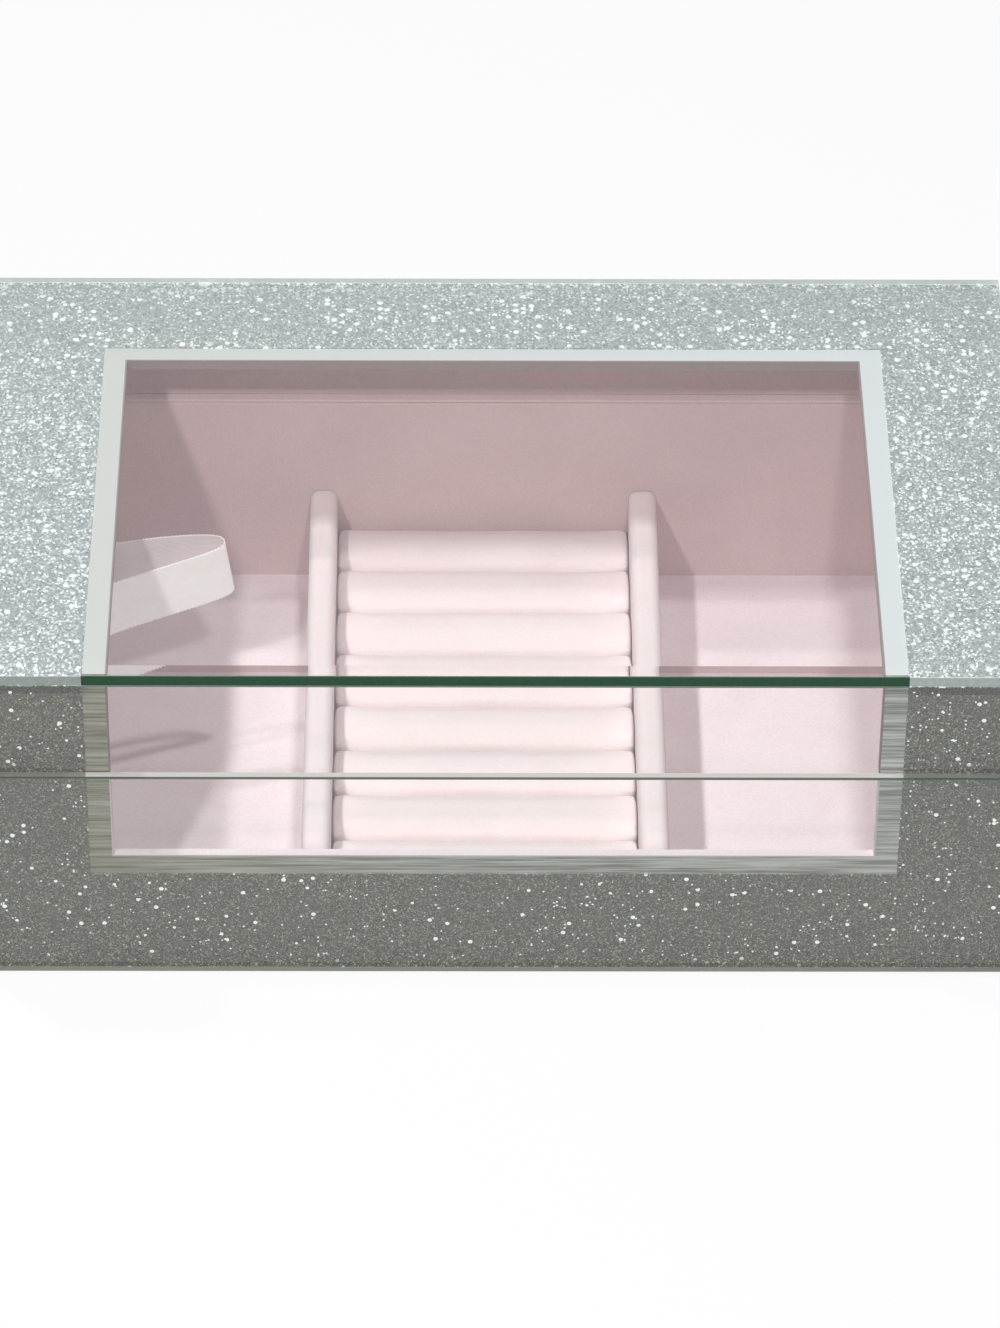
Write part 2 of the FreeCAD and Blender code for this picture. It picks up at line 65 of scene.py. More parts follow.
# %% [markdown]
# ## The camera
#
# The photograph was taken from in front and above with a long lens: the window's edges hardly converge. The
# lens and the angles below were fitted to the window's corners, the seam and the outer edges. A long lens far
# away keeps the box's proportions true, which a short lens close up wouldn't.

# %% Camera
PHOTO_HEIGHT = 1328
FOCAL_PIXELS = 6200
CAMERA_SPOT = (-0.01291, -1.20771, 1.03707)
CAMERA_ANGLES = (50.279, -0.418, -0.359)

photo_lens = bpy.data.cameras.new("photo_camera")
photo_lens.sensor_fit = "VERTICAL"
photo_lens.sensor_height = 36
photo_lens.lens = photo_lens.sensor_height * FOCAL_PIXELS / PHOTO_HEIGHT
photo_lens.clip_start, photo_lens.clip_end = 0.05, 40
photo_camera = bpy.data.objects.new("photo_camera", photo_lens)
photo_camera.location = CAMERA_SPOT
photo_camera.rotation_euler = [math.radians(angle) for angle in CAMERA_ANGLES]
scene = bpy.context.scene
scene.collection.objects.link(photo_camera)
scene.camera = photo_camera
scene.view_settings.view_transform = "Standard"
print(f"lens {photo_lens.lens:.1f} mm")

# %% [markdown]
# ## Helpers for node trees
#
# A finish is a small tree of shader nodes. A few helpers keep the recipes short enough to read: one adds a node
# and fills its sockets with values or links, one opens a node group with named sockets, and one starts a
# material with the coordinates of the object that wears it.

# %% Node helpers
def fill(tree, node, inputs):
    """Sets a node's sockets. A socket that is given another socket is linked, and anything else is a value."""
    for name, given in inputs.items():
        if isinstance(given, bpy.types.NodeSocket):
            tree.links.new(given, node.inputs[name])
        else:
            node.inputs[name].default_value = given
    return node


def add(tree, kind, inputs=None, **settings):
    """Adds a shader node with its settings and its sockets filled."""
    made = tree.nodes.new("ShaderNode" + kind)
    for name, setting in settings.items():
        setattr(made, name, setting)
    return fill(tree, made, inputs or {})


def math_of(tree, operation, *values):
    """The result of a Math node."""
    return add(tree, "Math", dict(enumerate(values)), operation=operation).outputs[0]


def mixed(tree, factor, first, second):
    """A colour between two colours."""
    return add(tree, "Mix", {0: factor, 6: first, 7: second}, data_type="RGBA").outputs[2]


def open_group(name, inputs, outputs):
    """A node group with named sockets: its tree, the sockets that come in and the sockets that go out."""
    tree = bpy.data.node_groups.new(name, "ShaderNodeTree")
    for way, sockets in (("INPUT", inputs), ("OUTPUT", outputs)):
        for label, kind in sockets.items():
            tree.interface.new_socket(label, in_out=way, socket_type="NodeSocket" + kind)
    return tree, tree.nodes.new("NodeGroupInput").outputs, tree.nodes.new("NodeGroupOutput")


def placed(tree, group, inputs):
    """A node group placed in a material with that material's own values."""
    return fill(tree, add(tree, "Group", node_tree=group), inputs).outputs


def new_finish(name):
    """An empty material, its node tree, and the object coordinates of whatever wears it."""
    material = bpy.data.materials.new(name)
    material.use_nodes = True
    material.node_tree.nodes.clear()
    return material, material.node_tree, add(material.node_tree, "TexCoord").outputs["Object"]


def to_surface(tree, shader):
    """Joins a shader to the material's output."""
    add(tree, "OutputMaterial", {"Surface": shader.outputs[0]})


print("node helpers ready")

# %% [markdown]
# ## The studio
#
# The box stands on a white sweep under a shop's small ceiling lamps. A row on the left throws the dividers' crisp
# shadows to the right, and a row in the middle hangs almost straight above. In each row one lamp is overhead and
# one further forward, where it reaches through the window to the back wall and the front flanks of the rolls. A
# fifth lamp hangs a little behind, and a wide, low one lights the back of the box. A lamp's watts depend on its
# distance, so `hang_lamp` takes a level instead: at level 1 a white sheet that faces the lamp renders as white.
#
# The white around the box could come from more light, but that would burn out the velvet. Instead the floor and
# the world show white to rays from the camera and to rays that come off glass, and light the box at a lower
# level. A part of the floor stays a plain matte surface, so that the box's shadow still falls on it.

# %% Lamps
LAMP_AIM = Vector((0, 0, 0.05))
CEILING = 1.157


def hang_lamp(name, spot, size, level):
    """A round lamp that faces the middle of the box."""
    away = Vector(spot) - LAMP_AIM
    lamp = bpy.data.lights.new(name, "AREA")
    lamp.shape = "DISK"
    lamp.size = size
    lamp.energy = level * (math.pi * away.length) ** 2
    holder = bpy.data.objects.new(name, lamp)
    holder.location = spot
    holder.rotation_euler = away.to_track_quat("Z", "Y").to_euler()
    scene.collection.objects.link(holder)
    return lamp


lamps = [hang_lamp("lamp_left_overhead", (-0.42, -0.15, CEILING), 0.06, 0.18),
         hang_lamp("lamp_middle_overhead", (0.08, -0.09, CEILING), 0.06, 0.22),
         hang_lamp("lamp_left_behind", (-0.40, 0.17, CEILING), 0.06, 0.20),
         hang_lamp("lamp_left_forward", (-0.42, -0.98, CEILING), 0.07, 0.33),
         hang_lamp("lamp_middle_forward", (0.13, -0.95, CEILING), 0.07, 0.22),
         hang_lamp("lamp_rear_fill", (-0.1, 1.5, 0.22), 0.4, 0.2)]
print("lamps:", {lamp.name: round(lamp.energy, 1) for lamp in lamps})


# %% White sweep
ROOM_LIGHT, MATTE_SHARE, SWEEP_REACH = 0.10, 0.15, 6


def seen_directly(tree):
    """1 for rays from the camera and for rays that come off a gloss or through glass, otherwise 0."""
    path = add(tree, "LightPath").outputs
    return math_of(tree, "MAXIMUM", path["Is Camera Ray"],
                   math_of(tree, "MAXIMUM", path["Is Glossy Ray"], path["Is Transmission Ray"]))


world = bpy.data.worlds.new("white_room")
world.use_nodes = True
room = world.node_tree
room.nodes.clear()
dim = add(room, "Background", {"Color": (1, 1, 1, 1), "Strength": ROOM_LIGHT})
white = add(room, "Background", {"Color": (1, 1, 1, 1), "Strength": 1.0})
sky = add(room, "MixShader", {0: seen_directly(room), 1: dim.outputs[0], 2: white.outputs[0]})
add(room, "OutputWorld", {"Surface": sky.outputs[0]})
scene.world = world

sweep_paint, tree, _ = new_finish("sweep_paint")
matte = add(tree, "BsdfDiffuse", {"Color": (0.9, 0.9, 0.9, 1)})
glow = add(tree, "Emission", {"Color": (1, 1, 1, 1), "Strength": 1.0})
shown = add(tree, "MixShader", {0: MATTE_SHARE, 1: glow.outputs[0], 2: matte.outputs[0]})
grey = add(tree, "BsdfDiffuse", {"Color": (0.16, 0.145, 0.11, 1)})
to_surface(tree, add(tree, "MixShader", {0: seen_directly(tree), 1: grey.outputs[0], 2: shown.outputs[0]}))

bm = bmesh.new()
bmesh.ops.create_grid(bm, x_segments=1, y_segments=1, size=SWEEP_REACH)
sweep_mesh = bpy.data.meshes.new("sweep")
bm.to_mesh(sweep_mesh)
bm.free()
sweep_mesh.materials.append(sweep_paint)
sweep = bpy.data.objects.new("sweep", sweep_mesh)
scene.collection.objects.link(sweep)
print("sweep", round(sweep.dimensions.x, 1), "m wide")

# %% [markdown]
# ## Panes of float glass
#
# Seven panes clad the box: one over the whole top, and three round the lid and three round the base. On the real
# box they are 3 mm float glass with ground edges, and the top pane has a shallow bevel along its front edge,
# which bends the view into a thin strip.
#
# Glass could be a plain transparent shader, but then the bevel and the thickness wouldn't bend anything. So the
# camera's rays get real glass with an index of 1.52. Lamp light would become a slow, noisy caustic in it, so
# every other ray passes as through a clear, faintly green film.

# %% Clear glass
GLASS_INDEX = 1.52

clear_glass, tree, _ = new_finish("clear_glass")
path = add(tree, "LightPath").outputs
float_glass = add(tree, "BsdfPrincipled", {"Base Color": (0.985, 1.0, 0.99, 1), "Roughness": 0.0,
                                           "IOR": GLASS_INDEX, "Transmission Weight": 1.0})
passing = add(tree, "BsdfTransparent", {"Color": (0.95, 0.965, 0.957, 1)})
looks = math_of(tree, "MAXIMUM", path["Is Camera Ray"], path["Is Transmission Ray"])
to_surface(tree, add(tree, "MixShader", {0: looks, 1: passing.outputs[0], 2: float_glass.outputs[0]}))

# %% [markdown]
# The ground edge of a pane gathers light from inside the glass, and its colours here are painted light. The top
# pane's front edge is dark green over the open window and pale over the glitter, which is painted light from the
# film behind it, a little more on the right. Its back edge, seen through the pane, gets a painted silver reflection
# of the film. The edges that meet at the seam get painted shade from outside, where they shade each other, and
# seen through the pane a painted reflection of the tone of what is next to them.
# So the edge is an opaque face of the same pane with its own finish, which asks the coordinates where it is and
# whether it is seen from inside. Lamp light still passes, as it does through the pane, or the thin edges would
# throw bars of shadow on the velvet.

# %% Ground edges
WINDOW_SIDE, WINDOW_BACK, WINDOW_LOW = 98.3 * MM, 51.8 * MM, 31.6 * MM
TOP_PANE_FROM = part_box("top_glass")[0].z - 0.1 * MM

pane_edge, tree, place = new_finish("pane_edge")
at = add(tree, "SeparateXYZ", {0: place}).outputs
beside = math_of(tree, "LESS_THAN", math_of(tree, "ABSOLUTE", at["X"]), WINDOW_SIDE)
before = math_of(tree, "LESS_THAN", at["Y"], WINDOW_BACK)
above = math_of(tree, "GREATER_THAN", at["Z"], TOP_PANE_FROM)
window_behind = math_of(tree, "MULTIPLY", beside, before)
speckle = add(tree, "TexNoise", {"Vector": place, "Scale": 900.0, "Detail": 3.0}).outputs[0]
# Painted light: pale teal over the film, brighter on the right, and a painted silver reflection of the film.
deep_green = mixed(tree, speckle, (0.012, 0.062, 0.030, 1), (0.040, 0.125, 0.066, 1))
film_lit_left_teal = mixed(tree, speckle, (0.40, 0.48, 0.46, 1), (0.66, 0.72, 0.71, 1))
film_lit_right_teal = mixed(tree, speckle, (0.52, 0.62, 0.61, 1), (0.86, 0.93, 0.94, 1))
film_lit_teal = mixed(tree, math_of(tree, "GREATER_THAN", at["X"], 0.0), film_lit_left_teal, film_lit_right_teal)
silver = mixed(tree, speckle, (0.60, 0.64, 0.63, 1), (0.83, 0.86, 0.85, 1))
film_lit_edge = mixed(tree, before, silver, film_lit_teal)
# Painted shade on the seam edges from outside, and a painted reflection of the neighbouring tone from inside.
shaded_from_outside = mixed(tree, speckle, (0.11, 0.125, 0.115, 1), (0.17, 0.19, 0.175, 1))
at_seam = math_of(tree, "MULTIPLY", beside, math_of(tree, "GREATER_THAN", at["Z"], WINDOW_LOW))
reflected_from_inside = mixed(tree, at_seam, (0.23, 0.23, 0.205, 1), (0.60, 0.56, 0.54, 1))
painted_seam_edge = mixed(tree, add(tree, "NewGeometry").outputs["Backfacing"], shaded_from_outside, reflected_from_inside)
ground = add(tree, "BsdfPrincipled", {
    "Base Color": mixed(tree, above, painted_seam_edge, mixed(tree, window_behind, film_lit_edge, deep_green)),
    "Roughness": math_of(tree, "MULTIPLY_ADD", speckle, 0.2, 0.45), "Specular IOR Level": 0.3})
passing = add(tree, "BsdfTransparent", {"Color": (0.85, 0.90, 0.87, 1)})
path = add(tree, "LightPath").outputs
to_surface(tree, add(tree, "MixShader", {0: path["Is Shadow Ray"], 1: ground.outputs[0], 2: passing.outputs[0]}))
print("glass finishes:", clear_glass.name, pane_edge.name)

# %% [markdown]
# Each pane starts as a cube that fills its solid's box. Its inner face is drawn back by a twentieth of a
# millimetre, because glass and film in exactly the same plane would flicker. `bisect_plane` cuts the line where
# the top pane's bevel begins, and the corners in front of it drop by half a millimetre. A last small bevel grinds
# the sharp edges, since no pane is sharp enough to cut.

# %% Modelling helpers
NEAR = 0.01 * MM
FACING = 0.9


def block(node):
    """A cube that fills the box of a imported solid."""
    low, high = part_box(node)
    bm = bmesh.new()
    bmesh.ops.create_cube(bm, size=1)
    bmesh.ops.scale(bm, vec=high - low, verts=bm.verts)
    bmesh.ops.translate(bm, vec=(low + high) / 2, verts=bm.verts)
    return bm


def round_off(bm, edges, radius, segments):
    """Rounds edges with a bevel."""
    bmesh.ops.bevel(bm, geom=list(edges), offset=radius, offset_type="OFFSET", affect="EDGES", segments=segments,
                    profile=0.5, material=-1, clamp_overlap=True)


def make_piece(name, bm, finishes, stands_for, body=None):
    """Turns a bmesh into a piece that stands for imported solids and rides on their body."""
    mesh = bpy.data.meshes.new(name)
    bm.to_mesh(mesh)
    bm.free()
    for finish in finishes:
        mesh.materials.append(finish)
    made = bpy.data.objects.new(name, mesh)
    scene.collection.objects.link(made)
    if body:
        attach(made, body)
    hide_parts(*stands_for)
    return made


# %% Panes
FILM_GAP = 0.05 * MM
ARRIS, SHARP_EDGE, FLAT_FACE = 0.1 * MM, math.radians(30), 0.95
BEVEL_WIDTH, BEVEL_DROP = 3.5 * MM, 0.5 * MM


def make_pane(node, body, outward):
    """A pane whose outer face looks along the direction outward."""
    outward = Vector(outward)
    bm = block(node)
    bm.normal_update()
    inner = [face for face in bm.faces if face.normal.dot(outward) < -FACING]
    bmesh.ops.translate(bm, vec=outward * FILM_GAP, verts=inner[0].verts)
    if node == "top_glass":
        front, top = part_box(node)[0].y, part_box(node)[1].z
        bmesh.ops.bisect_plane(bm, geom=bm.verts[:] + bm.edges[:] + bm.faces[:],
                               plane_co=(0, front + BEVEL_WIDTH, 0), plane_no=(0, 1, 0))
        lip = [v for v in bm.verts if v.co.y < front + NEAR and v.co.z > top - NEAR]
        bmesh.ops.translate(bm, vec=(0, 0, -BEVEL_DROP), verts=lip)
    round_off(bm, [e for e in bm.edges if e.calc_face_angle() > SHARP_EDGE], ARRIS, 1)
    bm.normal_update()
    for face in bm.faces:
        face.material_index = 0 if abs(face.normal.dot(outward)) > FLAT_FACE else 1
    return make_piece(node.replace("_glass", "_pane"), bm, [clear_glass, pane_edge], [node], body)


panes = [make_pane("top_glass", "lid", (0, 0, 1))]
for body in ("lid", "base"):
    for side, outward in (("front", (0, -1, 0)), ("left", (-1, 0, 0)), ("right", (1, 0, 0))):
        panes.append(make_pane(f"{body}_{side}_glass", body, outward))
print("panes:", {pane.name: len(pane.data.polygons) for pane in panes})

# %% [markdown]
# ## Glitter
#
# Behind the glass lies a film of silver glitter: thousands of tiny mirror flakes that lie at slightly different
# angles. Flakes as geometry would need millions of faces. A Voronoi texture gives the same picture: each of its
# cells is one flake, and the cell's random colour does two jobs. It tilts the surface's normal, so that some
# flakes catch a lamp, and it picks how bright the flake is. Two coarser layers scatter the flakes that lie flat
# and flash white, and a wide noise gathers them in drifts. The films and the paper on the back share this as one
# node group. The film on the uprights is the same film as on the top, but its copy is darker and warmer, with
# fewer bright flakes: painted shade with a painted warm reflection. The paper on the back lies bare, without glass.

# %% Glitter flakes
FLAKE_RADIUS = 0.4
MIDDLE_SHADE = 0.72

flakes, into, out = open_group(
    "glitter_flakes",
    {"Place": "Vector", "Normal": "Vector", "Flakes per metre": "Float", "Tilt": "Float", "Flash share": "Float"},
    {"Normal": "Vector", "Shade": "Float", "Flash": "Float"})


def flashing_layer(coarser, share):
    """A mask of round flakes: the cells of a coarser Voronoi texture whose random number is under a share."""
    scale = math_of(flakes, "MULTIPLY", into["Flakes per metre"], coarser)
    cells = add(flakes, "TexVoronoi", {"Vector": into["Place"], "Scale": scale}).outputs
    number = add(flakes, "SeparateColor", {0: cells["Color"]}).outputs["Red"]
    return math_of(flakes, "MULTIPLY", math_of(flakes, "LESS_THAN", number, share),
                   math_of(flakes, "LESS_THAN", cells["Distance"], FLAKE_RADIUS))


small = add(flakes, "TexVoronoi", {"Vector": into["Place"], "Scale": into["Flakes per metre"]}).outputs
drift = add(flakes, "TexNoise", {"Vector": into["Place"], "Scale": 70.0, "Detail": 1.0}).outputs[0]
gathered = add(flakes, "MapRange", {"Value": drift, "From Min": 0.35, "From Max": 0.65, "To Min": 0.3, "To Max": 1.7})
share = math_of(flakes, "MULTIPLY", into["Flash share"], gathered.outputs[0])
flash = math_of(flakes, "MAXIMUM", flashing_layer(0.55, share),
                flashing_layer(0.26, math_of(flakes, "MULTIPLY", share, 1.1)))
centred = add(flakes, "VectorMath", {0: small["Color"], 1: (0.5, 0.5, 0.5)}, operation="SUBTRACT").outputs[0]
lean = math_of(flakes, "MULTIPLY", into["Tilt"], math_of(flakes, "SUBTRACT", 1.0, flash))
leaning = add(flakes, "VectorMath", {0: centred, "Scale": lean}, operation="SCALE").outputs[0]
tipped = add(flakes, "VectorMath", {0: into["Normal"], 1: leaning}, operation="ADD").outputs[0]
facing = add(flakes, "VectorMath", {0: tipped}, operation="NORMALIZE").outputs[0]
shade = add(flakes, "SeparateColor", {0: small["Color"]}).outputs["Green"]
fill(flakes, out, {"Normal": facing, "Shade": shade, "Flash": flash})


def make_glitter(name, per_metre, tilt, flash_share, roughness, dark, middle, bright):
    """A glitter finish whose small flakes run from dark to bright, with white flashes between them."""
    material, tree, place = new_finish(name)
    normal = add(tree, "NewGeometry").outputs["Normal"]
    flake = placed(tree, flakes, {"Place": place, "Normal": normal, "Flakes per metre": per_metre, "Tilt": tilt,
                                  "Flash share": flash_share})
    ramp = add(tree, "ValToRGB", {0: flake["Shade"]})
    ramp.color_ramp.elements[0].color = dark
    ramp.color_ramp.elements[1].color = bright
    ramp.color_ramp.elements.new(MIDDLE_SHADE).color = middle
    colour = mixed(tree, flake["Flash"], ramp.outputs[0], (0.96, 0.97, 0.97, 1))
    to_surface(tree, add(tree, "BsdfPrincipled", {
        "Base Color": colour, "Roughness": roughness, "Metallic": flake["Flash"], "Normal": flake["Normal"]}))
    return material


top_film = make_glitter("top_film", 2000.0, 1.1, 0.16, 0.3, (0.20, 0.225, 0.235, 1),
                        (0.42, 0.455, 0.475, 1), (0.85, 0.89, 0.91, 1))
# Painted shade: the uprights' copy of the film is darker and warmer, with fewer bright flakes.
shaded_upright_film = make_glitter("shaded_upright_film", 2700.0, 1.0, 0.034, 0.3, (0.06, 0.06, 0.045, 1),
                            (0.19, 0.183, 0.145, 1), (0.62, 0.605, 0.52, 1))
glitter_paper = make_glitter("glitter_paper", 2900.0, 1.1, 0.04, 0.34, (0.24, 0.25, 0.25, 1),
                             (0.46, 0.48, 0.48, 1), (0.84, 0.86, 0.86, 1))
print("glitter finishes:", top_film.name, shaded_upright_film.name, glitter_paper.name)

# %% [markdown]
# ## Silver boards
#
# The frame round the window is thin fibreboard with a brushed silver foil. Only a band of it shows, between the
# edge of the film and the velvet: smooth on the top and streaked from side to side on the front. Its tones are a
# painted reflection: pale on the top and a little lighter to the right, darker on the front, and warm olive on the
# front to the left. Streaks are noise that is stretched along one direction. The hinges are brushed too, so the
# streaks are a node group.

# %% Brushed streaks
streaks, into, out = open_group("brushed_streaks", {"Place": "Vector", "Stretch": "Vector"}, {"Streak": "Float"})
stretched = add(streaks, "Mapping", {"Vector": into["Place"], "Scale": into["Stretch"]}).outputs[0]
streak = add(streaks, "TexNoise", {"Vector": stretched, "Scale": 1.0, "Detail": 3.0, "Roughness": 0.6}).outputs[0]
fill(streaks, out, {"Streak": streak})

silver_board, tree, place = new_finish("silver_board")
streak = placed(tree, streaks, {"Place": place, "Stretch": (40.0, 60.0, 1300.0)})["Streak"]
lines = add(tree, "MapRange", {"Value": streak, "From Min": 0.36, "From Max": 0.64}).outputs[0]
normal = add(tree, "NewGeometry").outputs["Normal"]
# Painted reflection: the front foil is darker and warm olive to the left, the top foil pale and lighter to the right.
front_reflection_mask = math_of(tree, "ABSOLUTE", add(tree, "SeparateXYZ", {0: normal}).outputs["Y"])
side = add(tree, "SeparateXYZ", {0: place}).outputs["X"]
olive_reflection_mask = add(tree, "MapRange", {"Value": side, "From Min": -0.10, "From Max": -0.01}).outputs[0]
olive_streak_reflection = mixed(tree, lines, (0.19, 0.175, 0.12, 1), (0.52, 0.505, 0.43, 1))
front_streak_reflection = mixed(tree, lines, (0.24, 0.235, 0.21, 1), (0.82, 0.82, 0.80, 1))
front_foil_reflection = mixed(tree, olive_reflection_mask, olive_streak_reflection, front_streak_reflection)
lighter_right_mask = add(tree, "MapRange", {"Value": side, "From Min": -0.10, "From Max": 0.10}).outputs[0]
top_foil_reflection = mixed(tree, lighter_right_mask, (0.57, 0.575, 0.565, 1), (0.68, 0.70, 0.73, 1))
to_surface(tree, add(tree, "BsdfPrincipled", {
    "Base Color": mixed(tree, front_reflection_mask, top_foil_reflection, front_foil_reflection),
    "Roughness": math_of(tree, "MULTIPLY_ADD", streak, 0.3, 0.3)}))
print("board finish:", silver_board.name)

# %% [markdown]
# ## Velvet
#
# All inner surfaces are boards or cards wrapped in short pale pink velvet. Its pile is under half a millimetre
# long, so single hairs don't show, but three things do: a fine grain, broad patches where a hand brushed the
# pile another way, and a pale bloom at grazing angles. Hair particles would be slow and would leave no surface
# to export, so the grain is noise in colour and bump, the patches are wide noise, and the bloom is the shader's
# sheen. Walls, floor, rolls and the tape round the window share the pile as a group and differ in colour. The
# walls' velvet is darker and deeper pink, which is painted shade, and the tape round the window is darker still,
# also painted shade. Rolls and dividers are padded, so a share of the light goes on inside them, which softens
# the grooves.

# %% Velvet pile
SCATTER_DEPTH = 4.0 * MM

pile, into, out = open_group(
    "velvet_pile", {"Place": "Vector", "Deep": "Color", "Pale": "Color", "Patch size": "Float"},
    {"Color": "Color", "Height": "Float"})
hairs = add(pile, "TexNoise", {"Vector": into["Place"], "Scale": 1900.0, "Detail": 2.0}).outputs[0]
patches = add(pile, "TexNoise", {"Vector": into["Place"], "Scale": into["Patch size"], "Detail": 3.0,
                                 "Distortion": 0.6}).outputs[0]
brushed = math_of(pile, "MULTIPLY_ADD", patches, 0.7, -0.1)
grain = math_of(pile, "MULTIPLY_ADD", hairs, 0.8, brushed)
fill(pile, out, {"Color": mixed(pile, grain, into["Deep"], into["Pale"]), "Height": hairs})


def make_velvet(name, deep, pale, patch_size, sheen, scatter=0.0):
    """A velvet finish. The share scatter of the light goes on inside the padding."""
    material, tree, place = new_finish(name)
    nap = placed(tree, pile, {"Place": place, "Deep": deep, "Pale": pale, "Patch size": patch_size})
    bump = add(tree, "Bump", {"Height": nap["Height"], "Strength": 0.35, "Distance": 0.25 * MM}).outputs[0]
    to_surface(tree, add(tree, "BsdfPrincipled", {
        "Base Color": nap["Color"], "Roughness": 0.95, "Specular IOR Level": 0.15, "Normal": bump,
        "Sheen Weight": sheen, "Sheen Roughness": 0.45, "Sheen Tint": (1.0, 0.93, 0.94, 1),
        "Subsurface Weight": scatter, "Subsurface Radius": (1.0, 0.85, 0.85), "Subsurface Scale": SCATTER_DEPTH}))
    return material


velvet = make_velvet("velvet", (0.74, 0.605, 0.64, 1), (0.95, 0.84, 0.88, 1), 45.0, 0.15)
# Painted shade: the walls' velvet is darker than the floor's, and the tape's darker still.
shaded_wall_velvet = make_velvet("shaded_wall_velvet", (0.565, 0.387, 0.405, 1), (0.76, 0.566, 0.584, 1), 30.0, 0.12)
roll_velvet = make_velvet("roll_velvet", (0.85, 0.70, 0.715, 1), (0.94, 0.82, 0.83, 1), 60.0, 0.15, 0.6)
shaded_tape_velvet = make_velvet("shaded_tape_velvet", (0.24, 0.17, 0.18, 1), (0.35, 0.255, 0.265, 1), 60.0, 0.1)
print("velvet finishes:", velvet.name, shaded_wall_velvet.name, roll_velvet.name, shaded_tape_velvet.name)

# %% [markdown]
# The lining boards are wrapped round their open edges, so the rim where the lid meets the base is soft: the
# base's boards are rounded at the top, and the lid's at the bottom, and the pile of both all but touches. Just
# under the base's rim the turned-over velvet ends, which leaves a thin line. The solid is a plain board, so each
# lining is a cube with only those long edges bevelled, and `bisect_plane` cuts three loops for the line, of which
# the middle one is pressed in.

# %% Lining boards
RIM_RADIUS, PILE_TOUCH, LID_PILE = 0.5 * MM, 0.25 * MM, 0.7 * MM
TURN_DEPTH, LINE_WIDTH, LINE_DEPTH = 1.1 * MM, 0.5 * MM, 0.8 * MM


def make_lining(node, body):
    """A wrapped board with a soft rim. On the base a thin line runs under it."""
    low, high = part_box(node)
    run = 0 if "back" in node else 1
    rim = high.z if body == "base" else low.z
    bm = block(node)
    touch = PILE_TOUCH if body == "base" else -PILE_TOUCH
    bmesh.ops.translate(bm, vec=(0, 0, touch), verts=[v for v in bm.verts if abs(v.co.z - rim) < NEAR])
    rim += touch
    if node == "lid_back_lining":
        bmesh.ops.translate(bm, vec=(0, -LID_PILE, 0), verts=[v for v in bm.verts if v.co.y < low.y + NEAR])
    long_edges = [e for e in bm.edges if abs(e.verts[0].co.z - rim) < NEAR
                  and abs((e.verts[1].co - e.verts[0].co).normalized()[run]) > FACING]
    round_off(bm, long_edges, RIM_RADIUS, 6)
    if body == "base":
        for shift in (-LINE_WIDTH, 0, LINE_WIDTH):
            bmesh.ops.bisect_plane(bm, geom=bm.verts[:] + bm.edges[:] + bm.faces[:],
                                   plane_co=(0, 0, rim - TURN_DEPTH + shift), plane_no=(0, 0, 1))
        middle = (low + high) / 2
        into_board = Vector((0, 1, 0)) if "back" in node else Vector((math.copysign(1, middle.x), 0, 0))
        pressed = [v for v in bm.verts if abs(v.co.z - rim + TURN_DEPTH) < NEAR
                   and (v.co - middle).dot(into_board) < 0]
        bmesh.ops.translate(bm, vec=into_board * LINE_DEPTH, verts=pressed)
    return make_piece(node.replace("_lining", "_lining_board"), bm, [shaded_wall_velvet], [node], body)


linings = [make_lining(f"{body}_{side}_lining", body)
           for body in ("base", "lid") for side in ("left", "right", "back")]
print("linings:", [lining.name for lining in linings])

# %% [markdown]
# ## Dividers
#
# Two boards part the tray into three bays. The velvet is pulled over a rounded top, and the front end is cut to
# a round nose. Two bevels do it: a wide one turns the upper front corner into the nose, and a second one rounds
# the outline of both side faces. The facets are a millimetre wide at most, which the pile hides.

# %% Dividers
NOSE, DIVIDER_ROUND = 6 * MM, 2.5 * MM


def make_divider(node):
    """A wrapped board with a round nose at the front and a rounded top."""
    low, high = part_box(node)
    bm = block(node)
    corner = [e for e in bm.edges if all(v.co.y < low.y + NEAR and v.co.z > high.z - NEAR for v in e.verts)]
    round_off(bm, corner, NOSE, 10)
    bm.normal_update()
    outline = [e for e in bm.edges
               if sum(abs(face.normal.x) > FACING for face in e.link_faces) == 1
               and not all(v.co.z < low.z + NEAR for v in e.verts)
               and not all(v.co.y > high.y - NEAR for v in e.verts)]
    round_off(bm, outline, DIVIDER_ROUND, 8)
    return make_piece(node + "_board", bm, [roll_velvet], [node], "base")


dividers = [make_divider(node) for node in ("left_divider", "right_divider")]
print("dividers:", {divider.name: len(divider.data.polygons) for divider in dividers})

# %% [markdown]
# ## Ring rolls
#
# Eight padded rolls lie side by side on a card, and rings are pushed between them. Each is a strip of foam in a
# velvet sleeve: a crest pressed a little flat, straight flanks, pinched ends. The cover could be a bevelled block,
# but a block's faces stay flat and its ends look sawn. So one slightly smaller roll is bevelled, remeshed to an
# even net, and blown up gently as cloth while its underside is glued in place, which rounds the ends and lets the
# flanks swell between them. How far a point may move is capped, because the rolls lie a hair apart. The result
# is the sleeve for all eight, each with small dents of its own.

# %% A roll before it is filled
ROLLS = [f"ring_roll_{number}" for number in range(1, 9)]
roll_low, roll_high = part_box(ROLLS[0])
roll_size = roll_high - roll_low
SWELL, END_GROWTH, END_ROUND = 0.45 * MM, 0.4 * MM, 0.9 * MM
CREST_LAND, CREST_FLAT, CREST_REACH = 0.1 * MM, 0.32, 1.05


